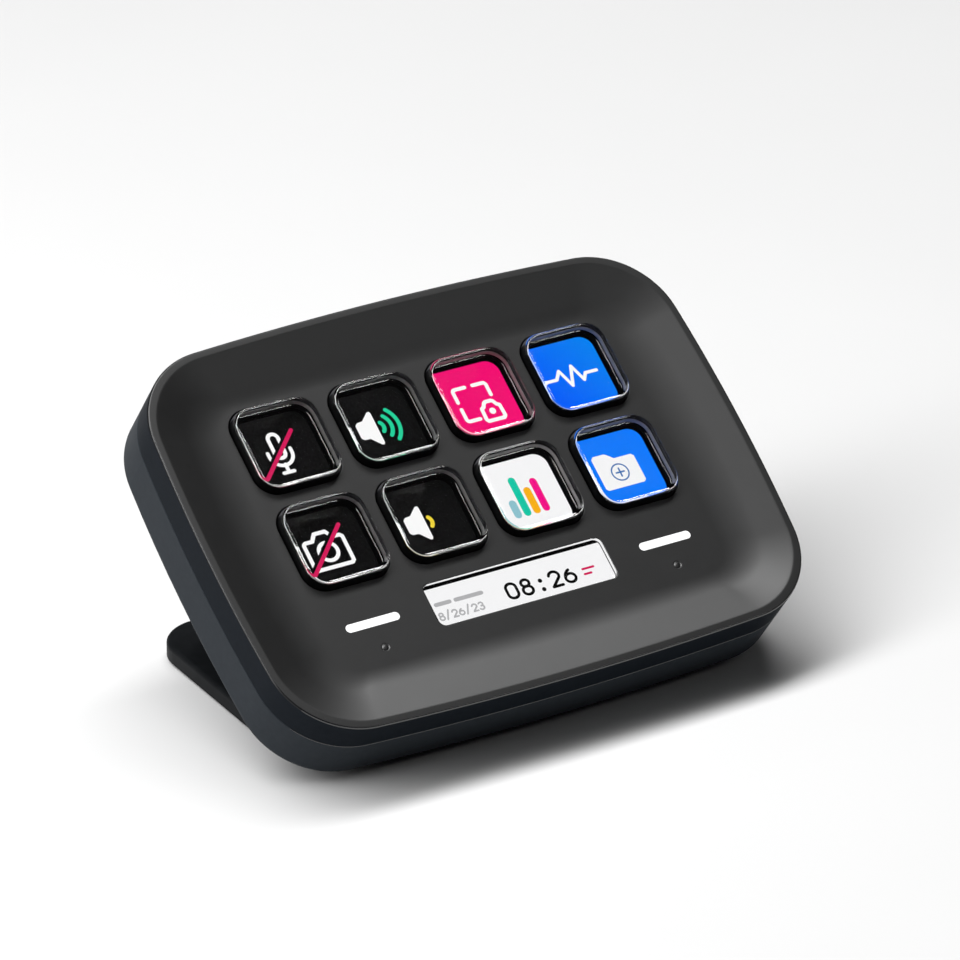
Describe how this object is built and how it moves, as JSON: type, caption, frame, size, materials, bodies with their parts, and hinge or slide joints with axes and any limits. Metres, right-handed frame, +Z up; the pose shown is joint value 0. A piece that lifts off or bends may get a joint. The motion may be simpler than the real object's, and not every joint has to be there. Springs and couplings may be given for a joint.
{
  "type": "desk keypad with display keys",
  "caption": "Rounded desk control pad on a fixed tilted foot, with square clear push keys over a colour display, an information window and lit touch bars.",
  "frame": {"origin": "centre of the whole object in plan, on the surface that it stands on", "axes": "+Z up, +X to the right of a user who faces the keys, -Y towards the user; the face leans back by 36.6 degrees from the horizontal"},
  "size_m": [0.107, 0.0708, 0.0593],
  "materials": {
    "housing_plastic": "fine textured matte",
    "shell_plastic": "smooth satin",
    "stand_plastic": "smooth satin",
    "foot_rubber": "matte",
    "cap_acrylic": "clear polished",
    "frame_plastic": "matte",
    "window_acrylic": "clear polished",
    "light_diffuser": "translucent white",
    "silicone": "matte",
    "circuit_film": "amber film",
    "foam": "matte",
    "display_glass": "polished",
    "backlight_plastic": "satin",
    "chassis_plastic": "matte",
    "board": "solder mask",
    "chip_epoxy": "matte",
    "capacitor_ceramic": "matte",
    "connector_plastic": "matte",
    "plated_metal": "satin",
    "screw_steel": "black zinc"
  },
  "bodies": {
    "housing": {"front_bezel": "housing_plastic", "rear_shell": "shell_plastic", "stand": "stand_plastic", "foot_pad": "foot_rubber", "info_window": "window_acrylic", "light_bar_left": "light_diffuser", "light_bar_right": "light_diffuser", "touch_flex": "circuit_film", "key_mat": "silicone", "switch_film": "circuit_film", "film_tail": "circuit_film", "display_foam": "foam", "lcd_panel": "display_glass", "lcd_backlight": "backlight_plastic", "lcd_chassis": "chassis_plastic", "display_ribbon": "circuit_film", "main_pcb": "board", "controller_chip": "chip_epoxy", "memory_chip": "chip_epoxy", "power_inductor": "chip_epoxy", "clock_crystal": "plated_metal", "chip_capacitors": "capacitor_ceramic", "display_connector": "connector_plastic", "film_connector": "connector_plastic", "usb_c_socket": "plated_metal", "usb_c_tongue": "connector_plastic", "shell_screws": "screw_steel", "chassis_screws": "screw_steel", "pcb_screws": "screw_steel", "stand_screws": "screw_steel"},
    "key_1": {"key_cap_1": "cap_acrylic", "key_frame_1": "frame_plastic"},
    "key_2": {"key_cap_2": "cap_acrylic", "key_frame_2": "frame_plastic"},
    "key_3": {"key_cap_3": "cap_acrylic", "key_frame_3": "frame_plastic"},
    "key_4": {"key_cap_4": "cap_acrylic", "key_frame_4": "frame_plastic"},
    "key_5": {"key_cap_5": "cap_acrylic", "key_frame_5": "frame_plastic"},
    "key_6": {"key_cap_6": "cap_acrylic", "key_frame_6": "frame_plastic"},
    "key_7": {"key_cap_7": "cap_acrylic", "key_frame_7": "frame_plastic"},
    "key_8": {"key_cap_8": "cap_acrylic", "key_frame_8": "frame_plastic"}
  },
  "joints": [
    {"name": "key_1_press", "type": "slide", "parent": "housing", "child": "key_1", "axis": [0, 0.5962, -0.8028], "range_m": [0, 0.0008], "stiffness_N_per_m": 450, "springref_m": -0.0006, "deforming": ["key_mat"]},
    {"name": "key_2_press", "type": "slide", "parent": "housing", "child": "key_2", "axis": [0, 0.5962, -0.8028], "range_m": [0, 0.0008], "stiffness_N_per_m": 450, "springref_m": -0.0006, "deforming": ["key_mat"]},
    {"name": "key_3_press", "type": "slide", "parent": "housing", "child": "key_3", "axis": [0, 0.5962, -0.8028], "range_m": [0, 0.0008], "stiffness_N_per_m": 450, "springref_m": -0.0006, "deforming": ["key_mat"]},
    {"name": "key_4_press", "type": "slide", "parent": "housing", "child": "key_4", "axis": [0, 0.5962, -0.8028], "range_m": [0, 0.0008], "stiffness_N_per_m": 450, "springref_m": -0.0006, "deforming": ["key_mat"]},
    {"name": "key_5_press", "type": "slide", "parent": "housing", "child": "key_5", "axis": [0, 0.5962, -0.8028], "range_m": [0, 0.0008], "stiffness_N_per_m": 450, "springref_m": -0.0006, "deforming": ["key_mat"]},
    {"name": "key_6_press", "type": "slide", "parent": "housing", "child": "key_6", "axis": [0, 0.5962, -0.8028], "range_m": [0, 0.0008], "stiffness_N_per_m": 450, "springref_m": -0.0006, "deforming": ["key_mat"]},
    {"name": "key_7_press", "type": "slide", "parent": "housing", "child": "key_7", "axis": [0, 0.5962, -0.8028], "range_m": [0, 0.0008], "stiffness_N_per_m": 450, "springref_m": -0.0006, "deforming": ["key_mat"]},
    {"name": "key_8_press", "type": "slide", "parent": "housing", "child": "key_8", "axis": [0, 0.5962, -0.8028], "range_m": [0, 0.0008], "stiffness_N_per_m": 450, "springref_m": -0.0006, "deforming": ["key_mat"]}
  ]
}
